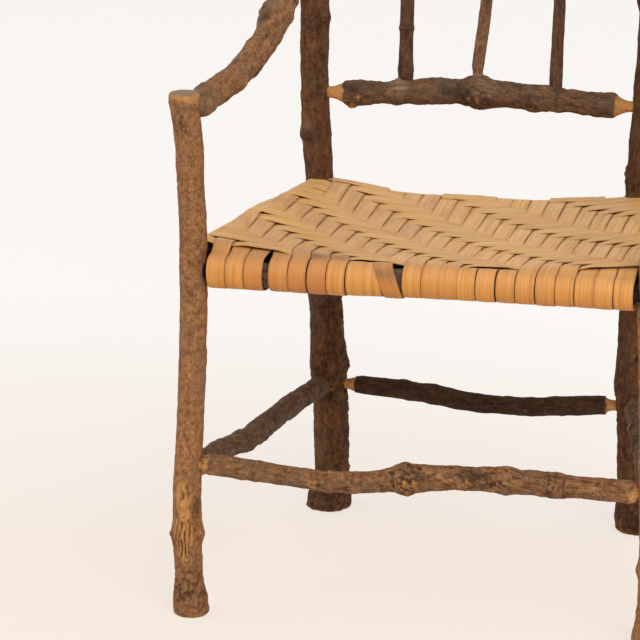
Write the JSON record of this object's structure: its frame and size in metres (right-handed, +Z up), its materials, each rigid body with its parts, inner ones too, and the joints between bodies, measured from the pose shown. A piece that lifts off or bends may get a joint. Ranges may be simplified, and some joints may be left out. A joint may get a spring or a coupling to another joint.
{
  "type": "twig armchair",
  "caption": "Rustic armchair of bark-on branches with tenoned posts, stretchers, bent arms and a spindle back, and a seat woven in twill from flat wooden splints.",
  "frame": {"origin": "on the floor, under the middle of the chair's box", "axes": "+Z up, +Y from the front of the seat towards the back, +X towards the right side as seen from the front"},
  "size_m": [0.588, 0.4626, 1],
  "materials": {
    "brown_bark": "rough brown bark with tan scars and shaved wood at the joints",
    "dark_bark": "rough dark brown bark with grey patches",
    "grey_bark": "wrinkled grey-brown bark",
    "tan_bark": "mottled tan-brown bark",
    "warp_splint": "split wooden splint, honey coloured, long straight grain",
    "weft_splint": "split wooden splint, straw coloured, long straight grain"
  },
  "bodies": {
    "root": {"front_left_post": "brown_bark", "front_right_post": "brown_bark", "left_arm": "brown_bark", "right_arm": "brown_bark", "rear_left_post": "dark_bark", "rear_right_post": "dark_bark", "rear_stretcher": "dark_bark", "back_lower_crosspiece": "dark_bark", "back_upper_crosspiece": "dark_bark", "back_spindle_1": "dark_bark", "back_spindle_2": "dark_bark", "back_spindle_3": "dark_bark", "front_seat_rail": "grey_bark", "rear_seat_rail": "grey_bark", "left_seat_rail": "grey_bark", "right_seat_rail": "grey_bark", "left_side_stretcher": "grey_bark", "right_side_stretcher": "grey_bark", "front_stretcher": "tan_bark", "warp_splint_01": "warp_splint", "warp_splint_02": "warp_splint", "warp_splint_03": "warp_splint", "warp_splint_04": "warp_splint", "warp_splint_05": "warp_splint", "warp_splint_06": "warp_splint", "warp_splint_07": "warp_splint", "warp_splint_08": "warp_splint", "warp_splint_09": "warp_splint", "warp_splint_10": "warp_splint", "warp_splint_11": "warp_splint", "warp_splint_12": "warp_splint", "warp_splint_13": "warp_splint", "warp_splint_14": "warp_splint", "warp_splint_15": "warp_splint", "warp_splint_16": "warp_splint", "warp_splint_17": "warp_splint", "warp_splint_18": "warp_splint", "warp_splint_19": "warp_splint", "warp_splint_20": "warp_splint", "warp_splint_21": "warp_splint", "warp_splint_22": "warp_splint", "weft_splint_01": "weft_splint", "weft_splint_02": "weft_splint", "weft_splint_03": "weft_splint", "weft_splint_04": "weft_splint", "weft_splint_05": "weft_splint", "weft_splint_06": "weft_splint", "weft_splint_07": "weft_splint", "weft_splint_08": "weft_splint", "weft_splint_09": "weft_splint", "weft_splint_10": "weft_splint", "weft_splint_11": "weft_splint", "weft_splint_12": "weft_splint", "weft_splint_13": "weft_splint", "weft_splint_14": "weft_splint", "weft_splint_15": "weft_splint", "weft_splint_16": "weft_splint"}
  },
  "joints": []
}
